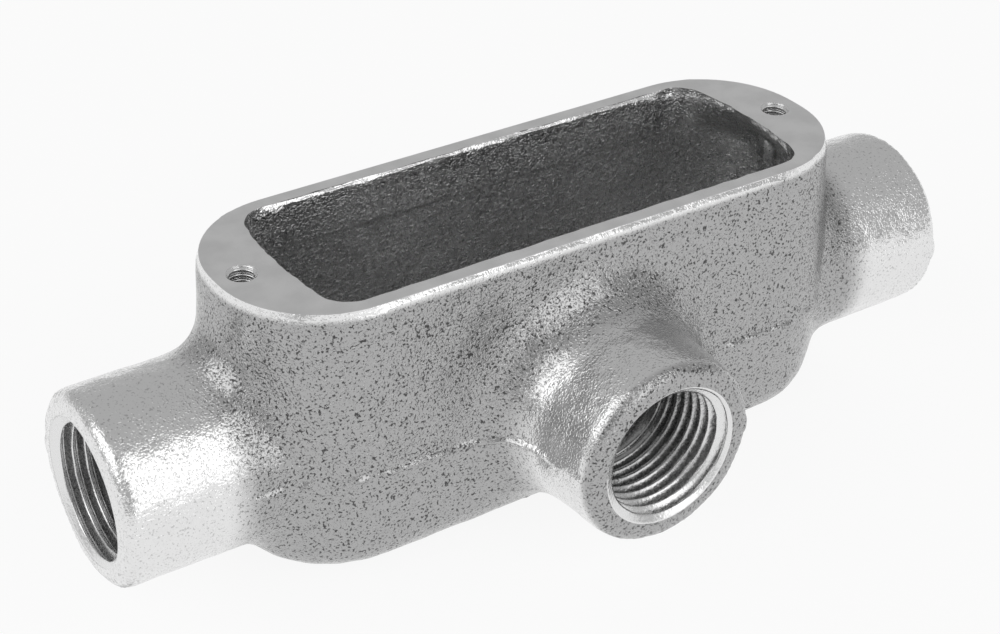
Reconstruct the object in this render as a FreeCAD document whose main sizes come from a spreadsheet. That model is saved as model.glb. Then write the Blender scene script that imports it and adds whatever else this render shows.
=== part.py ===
"""T-pattern conduit body, 1/2 in trade size: one malleable-iron casting.

Frame: the origin is the centre of the two cover screws on the ground cover
face.  +X runs along the through run, the branch hub points to -Y and the
opening looks up +Z.  Lengths are millimetres and angles are degrees.
"""
import FreeCAD, Part
import math
import os
import Sketcher
from FreeCAD import Vector

SIZES = {
    # trough
    "rim_length": 98.9,         # cover face, end to end
    "rim_width": 33.6,          # cover face, side to side
    "corner_offset": 1.2,       # corner centres, either side of the run axis
    "end_bow": 40.0,            # radius of the slightly flattened ends
    "cover_height": 25.4,       # hub axes up to the cover face
    "belly_depth": 18.4,        # hub axes down to the base
    "upper_draft": 3.0,         # pattern draft above the parting plane
    "belly_draft": 4.0,         # pattern draft below it
    "parting_round": 16.0,      # soft shoulder along the parting plane
    "base_round": 8.0,          # belly into its flat base
    "wall": 3.0,                # casting wall of the trough
    "floor_corner": 3.5,        # slope between the inner walls and the floor
    "rim_wall": 3.05,           # rim beside the long sides of the opening
    "rim_edge": 0.5,            # chamfer round the cover face
    # opening and the lands that carry the cover screws
    "land_width": 10.0,         # end of the rim to the end of the opening
    "land_thickness": 2.6,      # at the edge of the opening
    "land_root": 5.0,           # slope under the lands, thicker at the screws
    "opening_corner": 4.1,
    "opening_bow": 66.0,
    "opening_edge": 0.4,        # chamfer round the opening
    "screw_inset": 4.45,        # screw centre from the end of the rim
    "screw_bore": 3.5,          # No. 8-32 tap drill
    "screw_mouth": 4.4,         # light countersink
    # hubs
    "hub_diameter": 28.0,
    "hub_projection": 20.4,     # run hub face beyond the end of the rim
    "branch_projection": 18.4,  # branch hub face beyond the side of the rim
    "branch_draft": 3.0,        # pattern draft that widens the branch hub to its root
    "run_root": 6.0,            # concave blends of the hubs into the trough
    "branch_root": 8.0,
    "hub_edge": 0.8,            # chamfer round each hub face
    "bore_diameter": 18.3,      # 1/2-14 taper pipe thread, tap drill
    "bore_mouth": 21.3,
    "mouth_depth": 0.9,
    "thread_depth": 16.0,
    "throat_diameter": 15.8,    # integral bushing behind the thread
    "throat_lip": 1.0,          # broken so that it doesn't skin the wires
}

# Derived lengths, as expressions on the sheet.
DRAFT_SPREAD = "Sizes.cover_height * tan(Sizes.upper_draft)"
PARTING_LENGTH = "(Sizes.rim_length + 2 * %s)" % DRAFT_SPREAD
PARTING_WIDTH = "(Sizes.rim_width + 2 * %s)" % DRAFT_SPREAD
PARTING_CORNER = "(%s / 2 - Sizes.corner_offset)" % PARTING_WIDTH
PARTING_BOW = "(Sizes.end_bow + %s)" % DRAFT_SPREAD
RUN_LENGTH = "(Sizes.rim_length + 2 * Sizes.hub_projection)"
BRANCH_REACH = "(Sizes.rim_width / 2 + Sizes.branch_projection)"
OPENING_LENGTH = "(Sizes.rim_length - 2 * Sizes.land_width)"
OPENING_WIDTH = "(Sizes.rim_width - 2 * Sizes.rim_wall)"
ROOF_DEPTH = "(Sizes.land_thickness + Sizes.land_root)"
SCREW_X = "(Sizes.rim_length / 2 - Sizes.screw_inset)"

TOL = 1e-4
doc = FreeCAD.newDocument("conduit_body")


# ---------------------------------------------------------------- the sheet

def make_sheet():
    sheet = doc.addObject("Spreadsheet::Sheet", "Sizes")
    for row, (alias, value) in enumerate(SIZES.items(), start=1):
        sheet.set("A%d" % row, alias)
        sheet.set("B%d" % row, str(value))
        sheet.setAlias("B%d" % row, alias)
    doc.recompute()
    return sheet


sheet = make_sheet()


def size(alias):
    return float(sheet.get(alias))


def now(expression):
    """Present value of an expression on the sheet, in mm or degrees."""
    return float(sheet.evalExpression(expression.replace("Sizes.", "")))


# ------------------------------------------------------------ sketch helpers

def origin_plane(body, role):
    return [item for item in body.Origin.OriginFeatures if item.Role == role][0]


def new_sketch(body, name, plane, height=None):
    """An empty sketch on one of the body's origin planes, raised by height."""
    sketch = body.newObject("Sketcher::SketchObject", name)
    sketch.AttachmentSupport = [(origin_plane(body, plane), "")]
    sketch.MapMode = "FlatFace"
    if height:
        sketch.setExpression("AttachmentOffset.Base.z", height)
    doc.recompute()
    return sketch


def dimension(sketch, expression, kind, *where):
    """A driving dimension whose value is an expression on the sheet."""
    index = sketch.addConstraint(Sketcher.Constraint(kind, *where, now(expression)))
    sketch.setExpression("Constraints[%d]" % index, expression)


def relation(sketch, kind, *where):
    sketch.addConstraint(Sketcher.Constraint(kind, *where))


def arc(centre, radius, start, end):
    circle = Part.Circle(centre, Vector(0, 0, 1), radius)
    return Part.ArcOfCircle(circle, math.radians(start), math.radians(end))


def bowed_outline(sketch, length, width, corner, bow):
    """Closed outline with straight sides, round corners and bowed ends.

    It is drawn anticlockwise: end, corner, side, corner, end, corner, side,
    corner.  Each joint is tangent, and the ends are centred on the X axis.
    """
    half, side = now(length) / 2, now(width) / 2
    corner_r, bow_r = now(corner), now(bow)
    lean = math.degrees(math.asin((side - corner_r) / (bow_r - corner_r)))
    corner_x = half - bow_r + (bow_r - corner_r) * math.cos(math.radians(lean))
    corner_y = side - corner_r
    flat = Part.LineSegment
    pieces = [
        arc(Vector(half - bow_r, 0, 0), bow_r, -lean, lean),
        arc(Vector(corner_x, corner_y, 0), corner_r, lean, 90),
        flat(Vector(corner_x, side, 0), Vector(-corner_x, side, 0)),
        arc(Vector(-corner_x, corner_y, 0), corner_r, 90, 180 - lean),
        arc(Vector(bow_r - half, 0, 0), bow_r, 180 - lean, 180 + lean),
        arc(Vector(-corner_x, -corner_y, 0), corner_r, 180 + lean, 270),
        flat(Vector(-corner_x, -side, 0), Vector(corner_x, -side, 0)),
        arc(Vector(corner_x, -corner_y, 0), corner_r, 270, 360 - lean),
    ]
    sketch.addGeometry(pieces, False)
    for piece in range(8):
        relation(sketch, "Tangent", piece, 2, (piece + 1) % 8, 1)
    for end in (0, 4):
        relation(sketch, "PointOnObject", end, 3, -1)
    for side_line in (2, 6):
        relation(sketch, "Horizontal", side_line)
    for other in (3, 5, 7):
        relation(sketch, "Equal", 1, other)
    relation(sketch, "Equal", 0, 4)
    relation(sketch, "Equal", 2, 6)
    tips = sketch.addGeometry([Part.Point(Vector(half, 0, 0)), Part.Point(Vector(-half, 0, 0))],
                              True)
    relation(sketch, "PointOnObject", tips[0], 1, -1)
    relation(sketch, "Symmetric", tips[0], 1, tips[1], 1, -2)
    for tip, end in zip(tips, (0, 4)):
        relation(sketch, "PointOnObject", tip, 1, end)
    dimension(sketch, length, "DistanceX", tips[1], 1, tips[0], 1)
    dimension(sketch, "%s / 2" % width, "DistanceY", -1, 1, 2, 1)
    dimension(sketch, corner, "Radius", 1)
    dimension(sketch, bow, "Radius", 0)


def circle_at(sketch, diameter, place):
    """A circle; place is one (kind, expression) pair for each axis."""
    (x_sign, x_size), (y_sign, y_size) = place
    centre = Vector(x_sign * now(x_size), y_sign * now(y_size), 0)
    ring = sketch.addGeometry(Part.Circle(centre, Vector(0, 0, 1), now(diameter) / 2))
    dimension(sketch, diameter, "Diameter", ring)
    for kind, axis, sign, value in (("DistanceX", -2, x_sign, x_size),
                                    ("DistanceY", -1, y_sign, y_size)):
        if sign == 0:
            relation(sketch, "PointOnObject", ring, 3, axis)
        elif sign > 0:
            dimension(sketch, value, kind, -1, 1, ring, 3)
        else:
            dimension(sketch, value, kind, ring, 3, -1, 1)
    return ring


# ------------------------------------------------------------ feature helpers

def bind(feature, **expressions):
    for name, expression in expressions.items():
        feature.setExpression(name, expression)


def extrude(body, kind, name, sketch, length, reverse=False, side="One side"):
    """A Pad or Pocket of a sketch."""
    feature = body.newObject("PartDesign::" + kind, name)
    feature.Profile = sketch
    feature.SideType = side
    feature.Reversed = reverse
    bind(feature, Length=length)
    doc.recompute()
    return feature


def drafted(body, kind, name, sketch, up, down):
    """A Pad or Pocket both ways from the parting plane, drawn in by the draft."""
    cuts = kind == "Pocket"    # a pocket's first side goes down unless reversed
    feature = extrude(body, kind, name, sketch, up, reverse=cuts, side="Two sides")
    bind(feature, Length2=down, TaperAngle="-Sizes.upper_draft",
         TaperAngle2="-Sizes.belly_draft")
    doc.recompute()
    return feature


def edges_where(feature, test):
    """Names of a feature's edges that pass a test."""
    return ["Edge%d" % number for number, edge in enumerate(feature.Shape.Edges, start=1)
            if test(edge)]


def rounded(body, name, base, test, radius):
    fillet = body.newObject("PartDesign::Fillet", name)
    fillet.Base = (base, edges_where(base, test))
    bind(fillet, Radius=radius)
    doc.recompute()
    return fillet


def chamfered(body, name, base, test, width):
    chamfer = body.newObject("PartDesign::Chamfer", name)
    chamfer.Base = (base, edges_where(base, test))
    bind(chamfer, Size=width)
    doc.recompute()
    return chamfer


def at_height(z):
    """Test: the whole edge lies at this height."""
    def test(edge):
        box = edge.BoundBox
        return abs(box.ZMin - z) < TOL and abs(box.ZMax - z) < TOL
    return test


def reach_of(edge):
    """Farthest |x| and |y| that an edge comes to."""
    box = edge.BoundBox
    return max(-box.XMin, box.XMax), max(-box.YMin, box.YMax)


def on_rim(edge):
    """Test: the edge belongs to the outside of the cover face."""
    far_x, far_y = reach_of(edge)
    return far_x > now("Sizes.rim_length / 2") - TOL or far_y > now("Sizes.rim_width / 2") - TOL


def on_opening(edge):
    """Test: the edge belongs to the opening in the cover face."""
    far_x, far_y = reach_of(edge)
    return far_x < now(OPENING_LENGTH) / 2 + TOL and far_y < now(OPENING_WIDTH) / 2 + TOL


# ----------------------------------------------------------------- the casting

def trough(body):
    """Solid trough: two drafted halves that meet at the hub-axis plane."""
    outline = new_sketch(body, "PartingOutline", "XY_Plane", "-Sizes.cover_height")
    bowed_outline(outline, PARTING_LENGTH, PARTING_WIDTH, PARTING_CORNER, PARTING_BOW)
    halves = drafted(body, "Pad", "Trough", outline, "Sizes.cover_height", "Sizes.belly_depth")
    shoulder = rounded(body, "PartingShoulder", halves, at_height(-size("cover_height")),
                       "Sizes.parting_round")
    base = at_height(-size("cover_height") - size("belly_depth"))
    return rounded(body, "BaseRound", shoulder, base, "Sizes.base_round")


def hubs(body):
    """Round hubs on the run, in one bar, and the branch hub toward -Y."""
    run = new_sketch(body, "RunHubCircle", "YZ_Plane")
    circle_at(run, "Sizes.hub_diameter", ((0, "0"), (-1, "Sizes.cover_height")))
    extrude(body, "Pad", "RunHubs", run, RUN_LENGTH, side="Symmetric")
    face = new_sketch(body, "BranchFaceCircle", "XZ_Plane", BRANCH_REACH)
    circle_at(face, "Sizes.hub_diameter", ((0, "0"), (-1, "Sizes.cover_height")))
    branch = extrude(body, "Pad", "BranchHub", face, BRANCH_REACH, reverse=True)
    bind(branch, TaperAngle="Sizes.branch_draft")
    doc.recompute()
    return branch


def on_run_hub(edge):
    """Test: a curved edge where a run hub's cylinder leaves the trough."""
    if isinstance(edge.Curve, Part.Line) or on_hub_face(edge):
        return False
    radius = now("Sizes.hub_diameter / 2")
    axis_z = -now("Sizes.cover_height")
    return all(abs(math.hypot(spot.y, spot.z - axis_z) - radius) < TOL
               for spot in edge.discretize(5))


def on_branch_hub(edge):
    """Test: a curved edge where the branch hub leaves the side of the trough."""
    box = edge.BoundBox
    side = -now(PARTING_WIDTH) / 2
    beside = side - TOL < box.YMin and box.YMax < side + now("Sizes.base_round")
    return (not isinstance(edge.Curve, Part.Line) and beside
            and reach_of(edge)[0] < now("Sizes.hub_diameter"))


def on_hub_face(edge):
    """Test: the edge lies in the plane of a hub face."""
    box = edge.BoundBox
    run_face = now(RUN_LENGTH) / 2 - TOL
    return min(abs(box.XMin), abs(box.XMax)) > run_face or box.YMax < TOL - now(BRANCH_REACH)


def hub_roots(body, base):
    """Concave blends, the run hubs first because they are the shallower."""
    run = rounded(body, "RunRoots", base, on_run_hub, "Sizes.run_root")
    return rounded(body, "BranchRoot", run, on_branch_hub, "Sizes.branch_root")


def cavity(body):
    """Cored inside of the trough, one wall thinner all round, lands left on.

    The roof of the core slopes down at its ends, so that each land thickens
    towards the end wall, where its cover screw is.
    """
    core = new_sketch(body, "CoreOutline", "XY_Plane", "-Sizes.cover_height")
    bowed_outline(core, "(%s - 2 * Sizes.wall)" % PARTING_LENGTH,
                  "(%s - 2 * Sizes.wall)" % PARTING_WIDTH,
                  "(%s - Sizes.wall)" % PARTING_CORNER, "(%s - Sizes.wall)" % PARTING_BOW)
    hollow = drafted(body, "Pocket", "Core", core, "Sizes.cover_height - Sizes.land_thickness",
                     "Sizes.belly_depth - Sizes.wall")
    floor = at_height(-now("Sizes.cover_height + Sizes.belly_depth - Sizes.wall"))
    floored = chamfered(body, "FloorCorner", hollow, floor, "Sizes.floor_corner")
    roof = at_height(-now("Sizes.land_thickness"))
    return chamfered(body, "LandRoots", floored, roof, "Sizes.land_root")


def opening(body):
    """The opening goes down past the sloping roof of the core."""
    outline = new_sketch(body, "OpeningOutline", "XY_Plane")
    bowed_outline(outline, OPENING_LENGTH, OPENING_WIDTH, "Sizes.opening_corner",
                  "Sizes.opening_bow")
    return extrude(body, "Pocket", "Opening", outline, ROOF_DEPTH)


def screw_holes(body):
    """Tap-drill holes through the lands, lightly countersunk."""
    centres = new_sketch(body, "ScrewCentres", "XY_Plane")
    for sign in (-1, 1):
        circle_at(centres, "Sizes.screw_bore", ((sign, SCREW_X), (0, "0")))
    holes = body.newObject("PartDesign::Hole", "ScrewHoles")
    holes.Profile = centres
    holes.DepthType = "Dimension"
    holes.DrillPoint = "Flat"
    holes.HoleCutType = "Countersink"
    holes.HoleCutCustomValues = True
    holes.HoleCutCountersinkAngle = 90
    bind(holes, Diameter="Sizes.screw_bore", HoleCutDiameter="Sizes.screw_mouth",
         Depth=ROOF_DEPTH)
    doc.recompute()
    return holes


def bore_profile(sketch, reach, sign):
    """Half section of a hub bore along the sketch's X axis, from the run axis
    out to the hub face: throat, shoulder, thread bore and widened mouth."""
    throat, bore, mouth = (now("Sizes.%s / 2" % name)
                           for name in ("throat_diameter", "bore_diameter", "bore_mouth"))
    face = now(reach)
    shoulder = face - now("Sizes.thread_depth")
    lead = face - now("Sizes.mouth_depth")
    corners = [(0, 0), (0, throat), (shoulder, throat), (shoulder, bore), (lead, bore),
               (face, mouth), (face, 0)]
    spots = [Vector(sign * along, out, 0) for along, out in corners]
    for start, end in zip(spots, spots[1:] + spots[:1]):
        sketch.addGeometry(Part.LineSegment(start, end))
    for line in range(7):
        relation(sketch, "Coincident", line, 2, (line + 1) % 7, 1)
    relation(sketch, "Coincident", 0, 1, -1, 1)
    for line in (0, 2, 5):
        relation(sketch, "Vertical", line)
    for line in (1, 3, 6):
        relation(sketch, "Horizontal", line)

    def along(value, near, far):
        order = (near, far) if sign > 0 else (far, near)
        dimension(sketch, value, "DistanceX", *order[0], *order[1])

    for corner, name in ((1, "throat_diameter"), (3, "bore_diameter"), (5, "bore_mouth")):
        dimension(sketch, "Sizes.%s / 2" % name, "DistanceY", -1, 1, corner, 1)
    along(reach, (-1, 1), (6, 1))
    along("Sizes.thread_depth", (3, 1), (6, 1))
    along("Sizes.mouth_depth", (4, 1), (6, 1))


def bore(body, name, plane, reach, sign):
    """Turn one hub bore out of the casting."""
    sketch = new_sketch(body, name + "Profile", plane)
    sketch.setExpression("AttachmentOffset.Base.y", "-Sizes.cover_height")
    doc.recompute()
    bore_profile(sketch, reach, sign)
    groove = body.newObject("PartDesign::Groove", name)
    groove.Profile = sketch
    groove.ReferenceAxis = (sketch, ["H_Axis"])
    groove.Angle = 360
    doc.recompute()
    return groove


def bores(body):
    right = bore(body, "RunBore", "XZ_Plane", RUN_LENGTH + " / 2", 1)
    both = body.newObject("PartDesign::Mirrored", "RunBores")
    both.Originals = [right]
    both.MirrorPlane = (origin_plane(body, "YZ_Plane"), [""])
    body.Tip = both
    doc.recompute()
    return bore(body, "BranchBore", "YZ_Plane", BRANCH_REACH, -1)


def on_throat(across, along, shoulder):
    """Test: the curved edge where a throat comes out into the cavity."""
    radius = now("Sizes.throat_diameter") / 2
    axis_z = -now("Sizes.cover_height")

    def test(edge):
        if isinstance(edge.Curve, Part.Line):
            return False
        points = edge.discretize(5)
        off = max(abs(math.hypot(across(p), p.z - axis_z) - radius) for p in points)
        return off < TOL and max(abs(along(p)) for p in points) < shoulder - TOL
    return test


def throat_lips(body, base):
    shoulder = now(RUN_LENGTH) / 2 - now("Sizes.thread_depth")
    run = chamfered(body, "RunLips", base, on_throat(lambda p: p.y, lambda p: p.x, shoulder),
                    "Sizes.throat_lip")
    shoulder = now(BRANCH_REACH) - now("Sizes.thread_depth")
    return chamfered(body, "BranchLip", run, on_throat(lambda p: p.x, lambda p: p.y, shoulder),
                     "Sizes.throat_lip")


def face_edges(body, base):
    """Chamfer the hub faces' outer edges and both outlines of the cover face."""
    hub_radius = now("Sizes.hub_diameter") / 2
    top = at_height(0)

    def hub_edge(edge):
        return (isinstance(edge.Curve, Part.Circle) and on_hub_face(edge)
                and abs(edge.Curve.Radius - hub_radius) < TOL)

    faces = chamfered(body, "HubEdges", base, hub_edge, "Sizes.hub_edge")
    rim = chamfered(body, "RimEdge", faces, lambda edge: top(edge) and on_rim(edge),
                    "Sizes.rim_edge")
    return chamfered(body, "OpeningEdge", rim, lambda edge: top(edge) and on_opening(edge),
                     "Sizes.opening_edge")


# -------------------------------------------------------------- check and write

def check(body):
    """Stop if a feature failed, or a pad or a cut left the volume as it was."""
    doc.recompute()
    for item in doc.Objects:
        if "Invalid" in item.State or "Error" in item.State:
            raise RuntimeError("%s failed: %s" % (item.Name, item.getStatusString()))
    solids = [item for item in body.Group if item.isDerivedFrom("PartDesign::Feature")]
    for before, after in zip(solids, solids[1:]):
        if abs(after.Shape.Volume - before.Shape.Volume) < TOL:
            raise RuntimeError("%s changed nothing" % after.Name)
    shape = body.Shape
    if shape.isNull() or not shape.isValid() or len(shape.Solids) != 1:
        raise RuntimeError("the casting isn't one valid solid")


def main():
    body = doc.addObject("PartDesign::Body", "ConduitBody")
    body.Label = "conduit_body"
    trough(body)
    hub_roots(body, hubs(body))
    cavity(body)
    opening(body)
    screw_holes(body)
    throat_lips(body, bores(body))
    face_edges(body, body.Tip)
    check(body)
    os.makedirs("parts", exist_ok=True)
    body.Shape.exportStep("parts/%s.step" % body.Label)
    print(body.Label, round(body.Shape.Volume, 1), "mm3", body.Shape.BoundBox)


main()
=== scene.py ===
"""Looks of a zinc-plated T conduit body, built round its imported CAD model.

The casting is a finely divided copy of the CAD solid with a cast skin, the
flash of its mould joint and a ragged lip round the opening.  The pipe threads
and the cover-screw threads are rings of their own.  Lengths are metres.
"""
import math

import bmesh
import bpy
from mathutils import Matrix, Vector, noise

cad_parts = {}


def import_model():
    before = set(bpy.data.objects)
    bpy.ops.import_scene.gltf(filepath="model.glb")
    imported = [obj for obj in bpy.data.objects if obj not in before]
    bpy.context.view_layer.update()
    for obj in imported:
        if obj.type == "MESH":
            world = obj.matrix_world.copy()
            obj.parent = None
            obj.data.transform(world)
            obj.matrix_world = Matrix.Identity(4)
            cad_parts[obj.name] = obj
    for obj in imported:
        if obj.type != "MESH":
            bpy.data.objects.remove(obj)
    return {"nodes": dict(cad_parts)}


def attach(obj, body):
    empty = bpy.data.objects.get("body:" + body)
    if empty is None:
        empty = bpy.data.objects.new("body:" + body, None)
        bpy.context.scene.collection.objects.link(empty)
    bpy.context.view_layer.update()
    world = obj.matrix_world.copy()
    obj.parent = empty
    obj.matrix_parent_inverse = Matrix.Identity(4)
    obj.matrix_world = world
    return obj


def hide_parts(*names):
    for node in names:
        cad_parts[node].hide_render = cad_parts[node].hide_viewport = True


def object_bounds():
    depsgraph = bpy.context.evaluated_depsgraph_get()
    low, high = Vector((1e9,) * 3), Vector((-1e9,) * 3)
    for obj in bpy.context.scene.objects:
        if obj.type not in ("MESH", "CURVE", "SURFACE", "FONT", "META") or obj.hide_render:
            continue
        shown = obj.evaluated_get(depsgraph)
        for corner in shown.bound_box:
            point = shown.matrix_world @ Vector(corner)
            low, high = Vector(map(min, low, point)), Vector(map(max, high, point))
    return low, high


MM = 0.001

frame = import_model()
CAD_LOW, CAD_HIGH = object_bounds()

# ------------------------------------------------------------- driving sizes
AXIS_Z = -25.4 * MM                     # hub axes below the cover face
RUN_FACE = CAD_HIGH.x                   # faces of the two run hubs
BRANCH_FACE = -CAD_LOW.y                # face of the branch hub
FLOOR_Z = CAD_LOW.z

MOUTH_RADIUS = 10.65 * MM               # pipe thread, widest at the hub face
BORE_RADIUS = 9.15 * MM                 # the drilled bore, and the crests
THROAT_RADIUS = 7.9 * MM
PIPE_PITCH = 25.4 / 14 * MM
PIPE_DEPTH = 16.0 * MM
MOUTH_DEPTH = 0.9 * MM
PIPE_TAPER = 1 / 32                     # of the radius

SCREW_X = 45.0 * MM
SCREW_MOUTH = 2.2 * MM
SCREW_BORE = 1.75 * MM
SCREW_ROOT = 2.08 * MM
SCREW_PITCH = 25.4 / 32 * MM
SCREW_DEPTH = 7.4 * MM
SCREW_CHAMFER = 0.45 * MM
SCREW_REACH = 12 * MM                   # below the cover face, past the holes

HUBS = (("left", Vector((-1, 0, 0)), RUN_FACE),
        ("right", Vector((1, 0, 0)), RUN_FACE),
        ("branch", Vector((0, -1, 0)), BRANCH_FACE))

END_CENTRE = 33.8 * MM                  # centre of the trough's rounded ends
CAVITY_END = 47 * MM                    # along the run, just inside the end walls
HUB_CORE = 12 * MM                      # round the run axis, inside the hubs' walls
CENTRE = Vector((0, 0, AXIS_Z))         # where the hub axes cross

WELD = 1e-6
SNUG = 0.03 * MM


# ---------------------------------------------------------------- the casting

FLASH_EDGE = 0.55 * MM                  # longest edges: on the mould joint,
LIP_EDGE = 0.9 * MM                     # on the lip of the opening,
INNER_EDGE = 1.7 * MM                   # inside the trough
OUTER_EDGE = 1.3 * MM                   # and on the rest

SKIN_DEPTH = 0.12 * MM
SKIN_WAVES = ((0.10 * MM, 7 * MM), (0.08 * MM, 2.8 * MM))   # height and size
FLASH_HEIGHT = 0.6 * MM
FLASH_HALF_WIDTH = 0.6 * MM
FLASH_WANDER = 0.3 * MM
LIP_X, LIP_Y, LIP_Z = 41 * MM, 15.5 * MM, 1.5 * MM          # holds the opening's edge
LIP_RAGGED = 0.22 * MM
CRISP_ANGLE = math.radians(38)


def edge_limit(spot):
    """Longest edge that the skin needs at a spot."""
    low = spot.z - AXIS_Z
    outside = abs(spot.y) > 14.5 * MM or abs(spot.x) > CAVITY_END
    if outside and abs(low) < 1.0 * MM and math.hypot(spot.y, low) > HUB_CORE:
        return FLASH_EDGE
    if spot.z > -1.2 * MM:
        return LIP_EDGE
    if abs(spot.y) < 15.3 * MM and abs(spot.x) < CAVITY_END:
        return INNER_EDGE
    return OUTER_EDGE


def too_long(edge, factor):
    start, end = (vert.co for vert in edge.verts)
    return edge.calc_length() > factor * edge_limit((start + end) / 2)


def divided_copy(node):
    """The CAD casting, merged and divided until every edge is short."""
    form = bmesh.new()
    form.from_mesh(node.data)
    bmesh.ops.remove_doubles(form, verts=form.verts, dist=WELD)
    for factor in (12, 6, 3, 1.7, 1.0):
        long = [edge for edge in form.edges if too_long(edge, factor)]
        bmesh.ops.subdivide_edges(form, edges=long, cuts=1)
        split = [face for face in form.faces if len(face.verts) > 3]
        bmesh.ops.triangulate(form, faces=split)
    return form


def in_hub(spot, direction, face):
    """Depth below the hub face, the hub axis and the radius about it."""
    along = spot.dot(direction)
    axis = CENTRE + direction * along
    return face - along, axis, (spot - axis).length


def widen_bores(form):
    """Open the bores to the thread's mouth, to make room for the rings."""
    spread = (MOUTH_RADIUS - THROAT_RADIUS) / (BORE_RADIUS - THROAT_RADIUS)
    for vert in form.verts:
        for _, direction, face in HUBS:
            depth, axis, radius = in_hub(vert.co, direction, face)
            if depth > PIPE_DEPTH + WELD or radius > MOUTH_RADIUS:
                continue
            wide = min(THROAT_RADIUS + (radius - THROAT_RADIUS) * spread, MOUTH_RADIUS)
            vert.co = axis + (vert.co - axis) * (wide / radius)
        side = Vector((math.copysign(SCREW_X, vert.co.x), 0))
        arm = vert.co.xy - side
        if vert.co.z > -SCREW_REACH and WELD < arm.length < SCREW_MOUTH:
            vert.co.xy = side + arm * (SCREW_MOUTH / arm.length)


def is_cut(spot):
    """True on the ground cover face and in the bores, which have no cast skin."""
    if spot.z > -WELD:
        return True
    if math.hypot(abs(spot.x) - SCREW_X, spot.y) < SCREW_MOUTH + WELD:
        return True
    for _, direction, face in HUBS:
        depth, _, radius = in_hub(spot, direction, face)
        if depth < PIPE_DEPTH + WELD and radius < MOUTH_RADIUS + WELD:
            return True
    return False


def soften(form, passes):
    """Round the facets and cast edges; what is cut keeps its shape."""
    cast = [vert for vert in form.verts if not is_cut(vert.co)]
    for _ in range(passes):
        bmesh.ops.smooth_vert(form, verts=cast, factor=0.5, use_axis_x=True,
                              use_axis_y=True, use_axis_z=True)


def smooth_step(value, low, high):
    part = min(max((value - low) / (high - low), 0), 1)
    return part * part * (3 - 2 * part)


def flash(spot):
    """Height of the mould joint's flash at a spot on the outside.

    It was dressed off the hubs, stands broken on the trough and is thickest
    where the joint turns out towards the branch hub.
    """
    if abs(spot.y) < 12.5 * MM and abs(spot.x) < 48 * MM:
        return 0
    wander = FLASH_WANDER * noise.noise(spot / (8 * MM))
    off = (spot.z - AXIS_Z - wander) / FLASH_HALF_WIDTH
    if abs(off) >= 1:
        return 0
    run = 1 - smooth_step(abs(spot.x), 50 * MM, 54 * MM)
    side = smooth_step(-spot.y, 24 * MM, 31 * MM)
    turn = smooth_step(-spot.y, 17 * MM, 20 * MM) * (1 - side)
    beads = 0.45 + 1.1 * noise.noise(spot / (2.6 * MM)) + 0.5 * turn
    return min(max(0, beads), 1) * run * (1 - side) * FLASH_HEIGHT * (1 - off * off)


def cast_skin(form):
    """Push the cast surfaces in by an uneven skin and raise the flash."""
    form.normal_update()
    moves = []
    for vert in form.verts:
        spot = vert.co.copy()
        if is_cut(spot):
            continue
        wave = sum(height * noise.noise(spot / size) for height, size in SKIN_WAVES)
        lift = flash(spot) - max(0, SKIN_DEPTH + wave)
        moves.append((vert, vert.normal * lift))
    for vert, move in moves:
        vert.co += move


def ragged_lip(form):
    """Make the edge of the opening uneven, as it was cast."""
    form.normal_update()
    moves = []
    for vert in form.verts:
        spot = vert.co
        if spot.z < -LIP_Z or abs(spot.x) > LIP_X or abs(spot.y) > LIP_Y:
            continue
        across = vert.normal.xy
        if across.length < 0.2:
            continue
        wave = noise.noise(spot / (3 * MM)) + 0.6 * noise.noise(spot / (1.1 * MM))
        moves.append((vert, across.normalized() * (wave * LIP_RAGGED)))
    for vert, move in moves:
        vert.co.xy += move


def keep_in_box(form):
    for vert in form.verts:
        for axis in range(3):
            vert.co[axis] = min(max(vert.co[axis], CAD_LOW[axis]), CAD_HIGH[axis])


def mark_faces(form):
    """Material 1 on the ground face, and a crisp edge round what is cut."""
    for face in form.faces:
        face.smooth = True
        face.material_index = int(all(vert.co.z > -WELD for vert in face.verts))
    for edge in form.edges:
        if len(edge.link_faces) == 2:
            edge.smooth = edge.calc_face_angle() < CRISP_ANGLE


def as_object(name, form, materials):
    """An object in the scene, from a bmesh that it uses up."""
    mesh = bpy.data.meshes.new(name)
    form.to_mesh(mesh)
    form.free()
    for material in materials:
        mesh.materials.append(material)
    piece = bpy.data.objects.new(name, mesh)
    bpy.context.scene.collection.objects.link(piece)
    return piece


def new_piece(name, form, materials):
    piece = as_object(name, form, materials)
    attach(piece, "root")
    return piece


def casting(node, materials):
    form = divided_copy(node)
    widen_bores(form)
    soften(form, 6)
    cast_skin(form)
    ragged_lip(form)
    keep_in_box(form)
    mark_faces(form)
    piece = new_piece("casting", form, materials)
    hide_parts("conduit_body")
    return piece


# ---------------------------------------------------------------- the threads

SHARP_HEIGHT = 0.866                    # of a sharp 60 degree thread, in pitches
ROOT_FLAT = 0.033                       # taken off its root, in pitches
ROWS_PER_PITCH = 14
RING_WALL = 0.15 * MM


def thread_radius(depth, turn, cut):
    """Radius of the thread's flank at a depth, for an angle in turns."""
    phase = (depth / cut["pitch"] + turn) % 1
    run_out = max(0, depth - cut["depth"] + 2 * cut["pitch"]) / (2 * cut["pitch"])
    root = cut["root"] - depth * cut["taper"]
    root -= (root - cut["crest"]) * min(1, run_out)
    flank = root + (ROOT_FLAT - abs(2 * phase - 1) * SHARP_HEIGHT) * cut["pitch"]
    mouth = cut["mouth"] - depth * (cut["mouth"] - cut["crest"]) / cut["chamfer"]
    return max(cut["crest"], min(root, flank), mouth)


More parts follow.
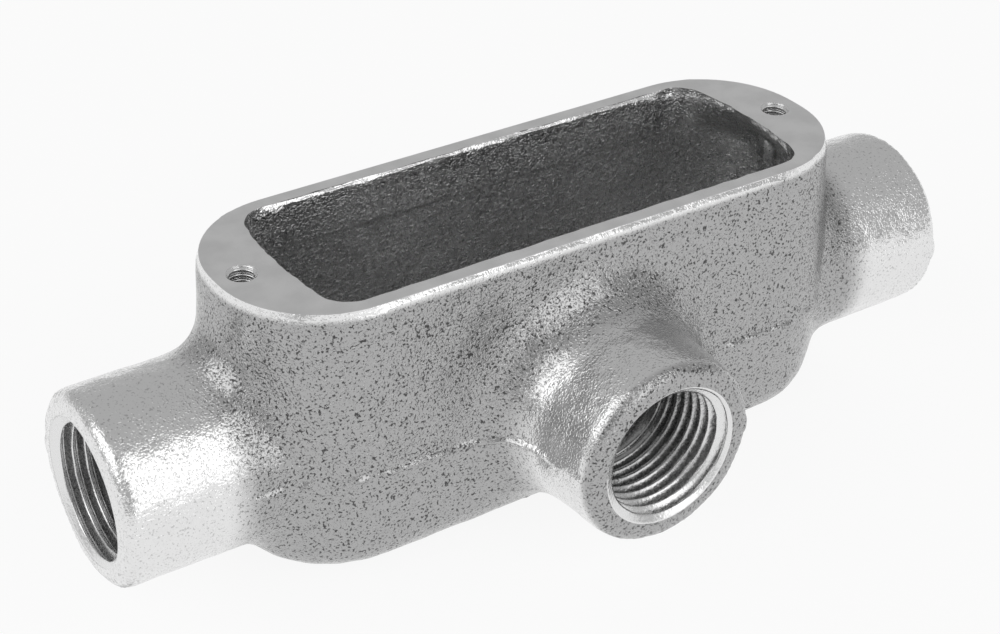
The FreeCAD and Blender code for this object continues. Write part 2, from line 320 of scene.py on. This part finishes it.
def thread_ring(name, place, cut, materials):
    """A closed ring with a helical thread inside, turned about its own Z axis."""
    form = bmesh.new()
    rows = round(cut["depth"] / cut["pitch"] * ROWS_PER_PITCH)
    outer = cut["mouth"] + RING_WALL
    bottom = cut["depth"] - SNUG
    depths = [SNUG + (bottom - SNUG) * row / rows for row in range(rows + 1)]
    profile = [(outer, SNUG)] + [(cut["crest"], depth) for depth in depths] + [(outer, bottom)]
    chain = [form.verts.new((radius, 0, -depth)) for radius, depth in profile]
    edges = [form.edges.new(pair) for pair in zip(chain, chain[1:] + chain[:1])]
    bmesh.ops.spin(form, geom=chain + edges, cent=(0, 0, 0), axis=(0, 0, 1), dvec=(0, 0, 0),
                   angle=math.tau, steps=cut["segments"], use_merge=True, use_duplicate=False)
    for vert in form.verts:
        radius = vert.co.xy.length
        if radius > outer - WELD:
            continue
        turn = math.atan2(vert.co.y, vert.co.x) / math.tau
        vert.co.xy *= thread_radius(-vert.co.z, turn, cut) / radius
    bmesh.ops.recalc_face_normals(form, faces=form.faces)
    bmesh.ops.transform(form, matrix=place, verts=form.verts)
    for face in form.faces:
        face.smooth = True
    return new_piece(name, form, materials)


PIPE_CUT = {"crest": BORE_RADIUS, "root": MOUTH_RADIUS - 0.04 * MM, "mouth": MOUTH_RADIUS - SNUG,
            "pitch": PIPE_PITCH, "depth": PIPE_DEPTH, "taper": PIPE_TAPER,
            "chamfer": MOUTH_DEPTH, "segments": 96}
SCREW_CUT = {"crest": SCREW_BORE, "root": SCREW_ROOT, "mouth": SCREW_MOUTH - SNUG,
             "pitch": SCREW_PITCH, "depth": SCREW_DEPTH, "taper": 0,
             "chamfer": SCREW_CHAMFER, "segments": 48}


def facing(direction, centre):
    """Stands a ring at a face, with its Z axis out along the direction."""
    return Matrix.Translation(centre) @ direction.to_track_quat("Z", "Y").to_matrix().to_4x4()


def threads(materials):
    for name, direction, face in HUBS:
        centre = CENTRE + direction * face
        thread_ring("thread_" + name, facing(direction, centre), PIPE_CUT, materials)
    for name, side in (("left", -1), ("right", 1)):
        centre = Vector((side * SCREW_X, 0, 0))
        thread_ring("screw_thread_" + name, Matrix.Translation(centre), SCREW_CUT, materials)


# -------------------------------------------------------------- the materials

HUB_PLATE = 0.80                        # bright, on the smooth hubs and edges
SHADED_WALL_PLATE = 0.42                       # painted shade: darker plate on the rough walls, for the dark they reflect and the light they trap
# painted shade: the plate inside the cavity, darker than the hubs' plate
CAVITY_SHADE_PLATE = 0.60
# painted shade: near black, in the pits of the cast skin
PIT_SHADE = 0.08
CAVITY_WALL = 14.4 * MM                 # from the middle plane, at its widest
OUTER_WALL = 15.0 * MM                  # clear of the cavity, inside the skin
CAVITY_FLOOR = 40.85 * MM               # just below the floor of the cavity


def grey(shade):
    return (shade, shade, shade, 1)


class Value:
    """A number that varies over a surface; arithmetic on it adds Math nodes."""

    def __init__(self, finish, socket):
        self.finish = finish
        self.socket = socket

    def math(self, operation, *others):
        inputs = [self] + list(others)
        return self.finish.add("ShaderNodeMath", inputs, operation=operation)

    def __add__(self, other):
        return self.math("ADD", other)

    def __mul__(self, other):
        return self.math("MULTIPLY", other)

    def __sub__(self, other):
        return self.math("SUBTRACT", other)

    def __rsub__(self, other):
        return self.finish.add("ShaderNodeMath", [other, self], operation="SUBTRACT")

    def __pow__(self, other):
        return self.math("POWER", other)

    __radd__ = __add__
    __rmul__ = __mul__

    def rise(self, low, high):
        """0 below low, 1 above high, smooth between."""
        return self.finish.add("ShaderNodeMapRange", {"Value": self, "From Min": low, "From Max": high},
                               interpolation_type="SMOOTHSTEP")


class Finish:
    """A material and the nodes that make it."""

    def __init__(self, name):
        self.material = bpy.data.materials.new(name)
        self.material.use_nodes = True
        self.tree = self.material.node_tree
        self.tree.nodes.clear()
        self.place = self.add("ShaderNodeTexCoord", {}, output="Object")

    def add(self, kind, inputs, output=0, **settings):
        """A node: its settings first, then its sockets' values or links."""
        node = self.tree.nodes.new(kind)
        for name, value in settings.items():
            setattr(node, name, value)
        pairs = inputs.items() if isinstance(inputs, dict) else enumerate(inputs)
        for key, value in pairs:
            if isinstance(value, Value):
                self.tree.links.new(value.socket, node.inputs[key])
            else:
                node.inputs[key].default_value = value
        if not node.outputs:
            return None
        return Value(self, node.outputs[output])

    def grain(self, size, detail=2.0, roughness=0.5):
        """Noise whose lumps are about size metres across."""
        return self.add("ShaderNodeTexNoise", {"Vector": self.place, "Scale": 1 / size,
                                               "Detail": detail, "Roughness": roughness})

    def across(self, axis):
        """Distance from the part's middle plane along X (0) or Y (1)."""
        parts = self.add("ShaderNodeSeparateXYZ", [self.place], output=axis)
        return parts.math("ABSOLUTE")

    def down(self):
        """Depth below the cover face."""
        return 0 - self.add("ShaderNodeSeparateXYZ", [self.place], output=2)

    def inside(self):
        """1 on the walls and floor of the cavity, 0 outside it."""
        beyond = (self.across(0) - END_CENTRE).math("MAXIMUM", 0)
        out = (beyond ** 2 + (self.across(1) * 0.95) ** 2) ** 0.5
        walls = 1 - out.rise(CAVITY_WALL, OUTER_WALL)
        below_lip = self.down().rise(0.6 * MM, 2.5 * MM)
        return walls * below_lip * (1 - self.down().rise(CAVITY_FLOOR, 41 * MM))

    def mix_colour(self, factor, first, second):
        return self.add("ShaderNodeMix", {0: factor, 6: first, 7: second}, output=2, data_type="RGBA")

    def bump(self, height, distance):
        return self.add("ShaderNodeBump", {"Height": height, "Distance": distance, "Strength": 1.0})

    def surface(self, **sockets):
        shader = self.add("ShaderNodeBsdfPrincipled", {key.replace("_", " "): value
                                                       for key, value in sockets.items()})
        self.add("ShaderNodeOutputMaterial", {"Surface": shader})
        return self.material


def cast_zinc():
    """Zinc plate on a sand casting, the hubs bright; painted shade darkens the rough walls, the cavity
    and the pits.
    """
    zinc = Finish("cast_zinc")
    sand = zinc.grain(0.38 * MM, detail=1.5, roughness=0.6)
    lumps = zinc.grain(1.7 * MM, detail=2.0)
    patches = zinc.grain(6 * MM, detail=2.0).rise(0.35, 0.65)
    branch = zinc.across(1).rise(19 * MM, 25 * MM) * (1 - zinc.across(1).rise(33.2 * MM, 34.6 * MM))
    hubs = zinc.across(0).rise(50 * MM, 56 * MM) + branch
    edge = 1 - zinc.down().rise(0.7 * MM, 1.6 * MM)
    inside = zinc.inside()
    grit = zinc.grain(0.3 * MM, detail=0.5).rise(0.52, 0.72)
    rough_skin = sand * (patches * 0.26 + 0.10) + grit * 0.16
    specks = zinc.grain(0.5 * MM, detail=1.0).rise(0.57, 0.65) * inside
    calm = hubs * 0.55 + edge * 0.6
    normal = zinc.bump(rough_skin * (1 - calm) + lumps * 0.3 + specks * 0.3, 0.4 * MM)
    # painted shade: near-black specks where the skin is pitted, fewer on the hubs and in the cavity,
    # none at the cover edge
    pit_shade = zinc.grain(0.38 * MM, detail=1.0).rise(0.32, 0.44)
    # painted shade: the walls, away from the hubs and the cover edge, take the darker plate
    walls = (1 - hubs) * (1 - edge)
    plate = zinc.mix_colour(walls, grey(HUB_PLATE), grey(SHADED_WALL_PLATE))
    # painted shade: the cavity's walls and floor take the darker cavity plate
    metal = zinc.mix_colour(inside, plate, grey(CAVITY_SHADE_PLATE))
    clear_of_pit_shade = pit_shade + hubs * 0.7 + inside * 0.6 + edge
    colour = zinc.mix_colour(clear_of_pit_shade, grey(PIT_SHADE), metal)
    rough = zinc.grain(0.9 * MM, detail=3.0).rise(0.35, 0.65) * 0.14 + 0.10 + inside * 0.1
    return zinc.surface(Base_Color=colour, Metallic=1.0, Roughness=rough, Normal=normal)


def ground_zinc():
    """The cover face, ground flat before it was plated."""
    zinc = Finish("ground_zinc")
    grain = zinc.grain(0.35 * MM, detail=3.0, roughness=0.6)
    cloud = zinc.grain(5 * MM, detail=3.0).rise(0.3, 0.7)
    colour = zinc.mix_colour(cloud, grey(0.75), grey(0.84))
    normal = zinc.bump(grain, 0.05 * MM)
    return zinc.surface(Base_Color=colour, Metallic=1.0, Roughness=grain * 0.15 + 0.36, Normal=normal)


def cut_zinc():
    """The threads, cut before plating; painted shade darkens them down the bores."""
    zinc = Finish("cut_zinc")
    grain = zinc.grain(0.5 * MM, detail=2.0)
    clear_of_bore_shade = zinc.across(0).rise(56 * MM, 68 * MM) + zinc.across(1).rise(21 * MM, 34 * MM)
    cover = 1 - zinc.down().rise(7 * MM, 9 * MM)
    # painted shade: dark grey down the pipe bores, the plain plate near their mouths and in the screw
    # holes
    colour = zinc.mix_colour(clear_of_bore_shade + cover, grey(0.34), grey(0.78))
    normal = zinc.bump(grain, 0.05 * MM)
    return zinc.surface(Base_Color=colour, Metallic=1.0, Roughness=grain * 0.2 + 0.16, Normal=normal)


# ---------------------------------------------------------------- the studio

FLOOR_SIZE = 3.0
PAPER_WHITE = 0.9           # share of the floor that is plain white, unshaded
SKY = 0.48                  # strength of the world's white
BOX_DISTANCE = 0.9
BOX_RADIANCE = 1.1

EYE_AZIMUTH, EYE_ELEVATION, EYE_ROLL = -34.07, 32.27, 0.91          # degrees
EYE_DISTANCE, EYE_ACROSS, EYE_RISE = 300.6 * MM, -3.61 * MM, 2.95 * MM
LENS, SENSOR = 73.65, 36


def studio_floor():
    """White paper: the camera and the metal see the same white and shadow."""
    form = bmesh.new()
    bmesh.ops.create_grid(form, x_segments=1, y_segments=1, size=FLOOR_SIZE)
    bmesh.ops.translate(form, vec=(0, 0, FLOOR_Z), verts=form.verts)
    paper = Finish("white_paper")
    camera_ray = paper.add("ShaderNodeLightPath", {}, output="Is Camera Ray")
    glossy_ray = paper.add("ShaderNodeLightPath", {}, output="Is Glossy Ray")
    through_ray = paper.add("ShaderNodeLightPath", {}, output="Is Transmission Ray")
    seen = (camera_ray + glossy_ray + through_ray) * PAPER_WHITE
    lit = paper.add("ShaderNodeBsdfDiffuse", {"Color": grey(0.9)})
    white = paper.add("ShaderNodeEmission", {"Color": grey(1), "Strength": 1.0})
    both = paper.add("ShaderNodeMixShader", {0: seen, 1: lit, 2: white})
    paper.add("ShaderNodeOutputMaterial", {"Surface": both})
    piece = as_object("floor", form, [paper.material])


def bearing(azimuth, elevation):
    """Direction out from the object; azimuth 0 is its front, and 90 its right."""
    a, e = math.radians(azimuth), math.radians(elevation)
    return Vector((math.sin(a) * math.cos(e), -math.cos(a) * math.cos(e), math.sin(e)))


def softbox(name, azimuth, elevation, width, height):
    """An area lamp that looks at the object, BOX_RADIANCE times as bright as white."""
    lamp = bpy.data.lights.new(name, "AREA")
    lamp.shape = "RECTANGLE"
    lamp.size = width
    lamp.size_y = height
    lamp.energy = BOX_RADIANCE * math.pi * width * height
    box = bpy.data.objects.new(name, lamp)
    out = bearing(azimuth, elevation)
    box.matrix_world = facing(out, CENTRE + out * BOX_DISTANCE)
    bpy.context.scene.collection.objects.link(box)


def world():
    sky = bpy.data.worlds.new("studio")
    bpy.context.scene.world = sky
    sky.use_nodes = True
    sky.node_tree.nodes["Background"].inputs["Color"].default_value = grey(1)
    sky.node_tree.nodes["Background"].inputs["Strength"].default_value = SKY


def camera():
    """Looks down on the body from the front left."""
    azimuth, roll = math.radians(EYE_AZIMUTH), math.radians(EYE_ROLL)
    back = bearing(EYE_AZIMUTH, EYE_ELEVATION)
    level = Vector((math.cos(azimuth), math.sin(azimuth), 0))
    upright = back.cross(level)
    right = level * math.cos(roll) + upright * math.sin(roll)
    up = upright * math.cos(roll) - level * math.sin(roll)
    eye = bpy.data.cameras.new("camera")
    eye.lens = LENS
    eye.sensor_width = SENSOR
    eye.clip_start = 0.01
    holder = bpy.data.objects.new("camera", eye)
    turn = Matrix((right, up, back)).transposed().to_4x4()
    spot = back * EYE_DISTANCE + right * EYE_ACROSS + up * EYE_RISE + CENTRE
    holder.matrix_world = Matrix.Translation(spot) @ turn
    bpy.context.scene.collection.objects.link(holder)
    bpy.context.scene.camera = holder


def main():
    casting(frame["nodes"]["conduit_body"], [cast_zinc(), ground_zinc()])
    threads([cut_zinc()])
    studio_floor()
    softbox("front_softbox", 14, 27, 0.6, 0.9)
    softbox("left_softbox", -86, 36, 0.85, 0.7)
    world()
    camera()
    bpy.context.scene.view_settings.view_transform = "Standard"


main()
